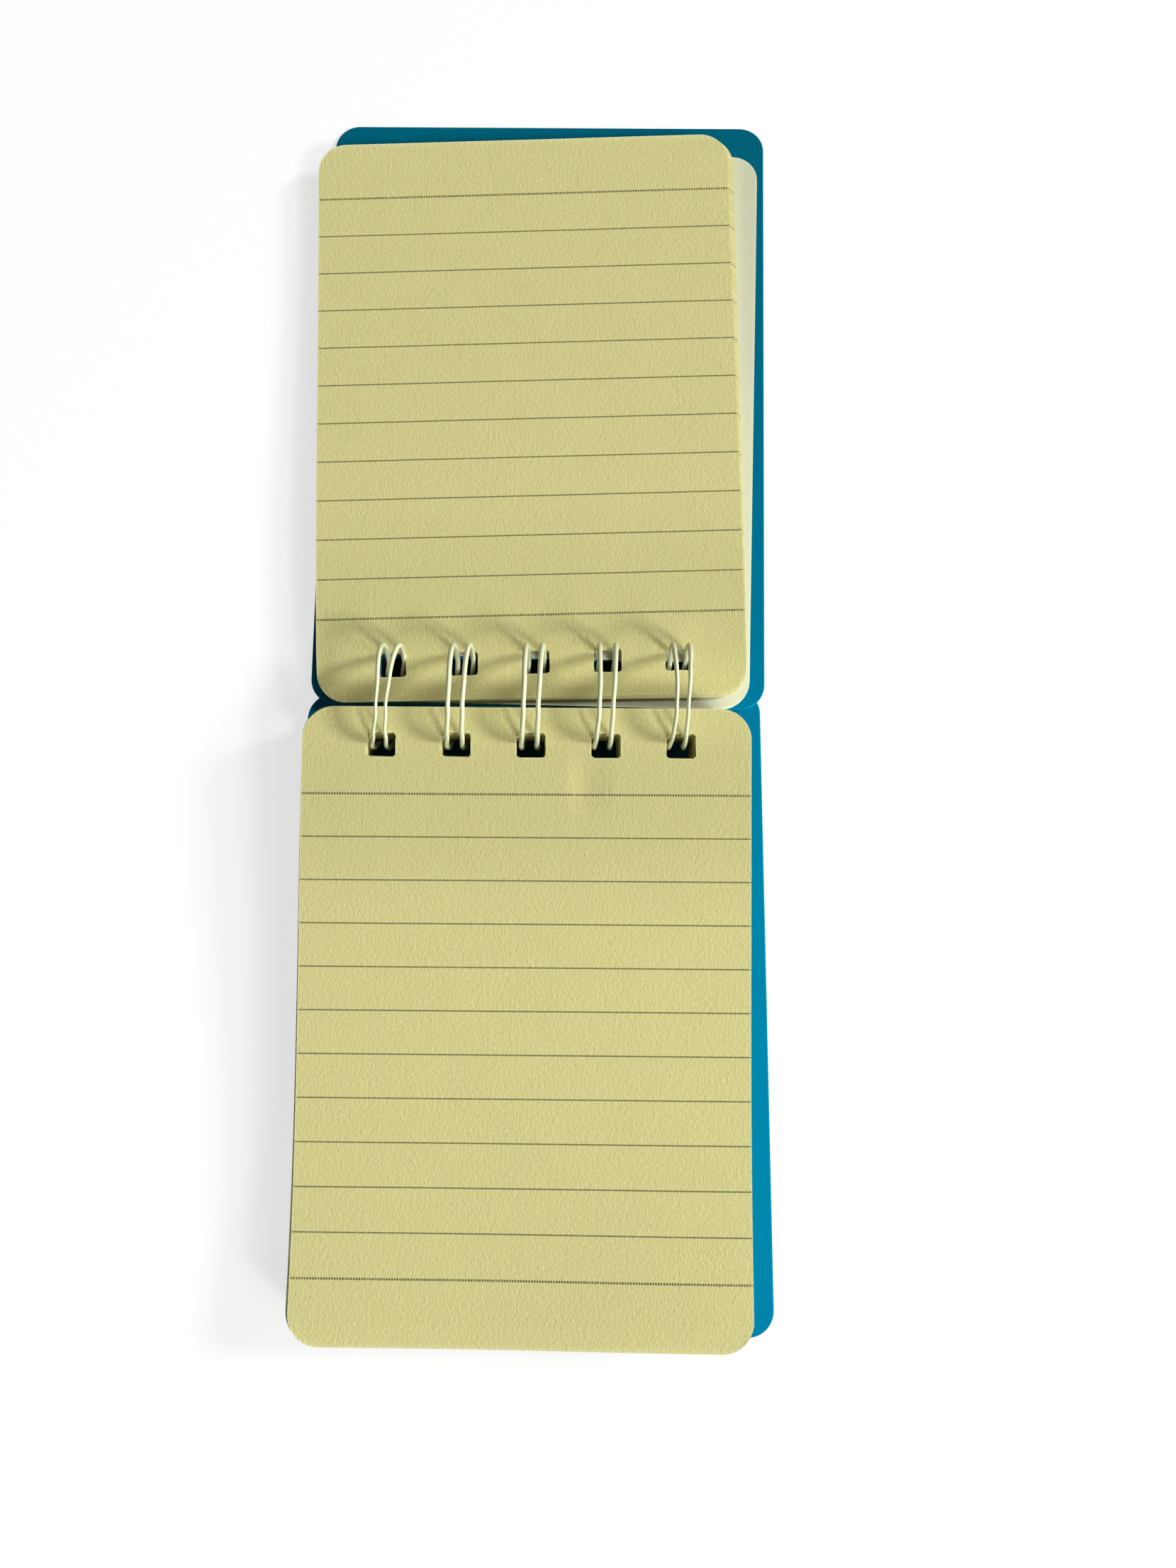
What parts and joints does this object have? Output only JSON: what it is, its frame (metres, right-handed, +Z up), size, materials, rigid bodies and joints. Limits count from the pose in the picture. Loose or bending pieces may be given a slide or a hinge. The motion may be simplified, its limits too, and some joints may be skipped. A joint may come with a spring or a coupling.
{
  "type": "spiral notepad",
  "caption": "Pocket notepad lying open: yellow ruled leaves between blue plastic covers, bound along the short edge by a coated double-loop wire on which the front half turns over.",
  "frame": {"origin": "on the table, straight under the axis of the wire rings, in the middle of the loop row", "axes": "+X along the bound edge, +Y towards the turned half with the front cover, +Z up from the table"},
  "size_m": [0.0832, 0.2213, 0.0186],
  "materials": {
    "blue_cover": "satin polypropylene sheet",
    "white_card": "smooth uncoated card",
    "yellow_paper": "uncoated ruled paper",
    "coated_wire": "nylon-coated steel wire"
  },
  "bodies": {
    "base": {"twin_loop_wire": "coated_wire", "back_cover": "blue_cover", "page_block": "yellow_paper"},
    "front_half": {"front_cover": "blue_cover", "white_card": "white_card", "turned_leaves": "yellow_paper"}
  },
  "joints": [
    {"name": "front_half_turn", "type": "hinge", "parent": "base", "child": "front_half", "pos_m": [0, 0, 0.0093], "axis": [1, 0, 0], "range_deg": [0, 175]}
  ]
}
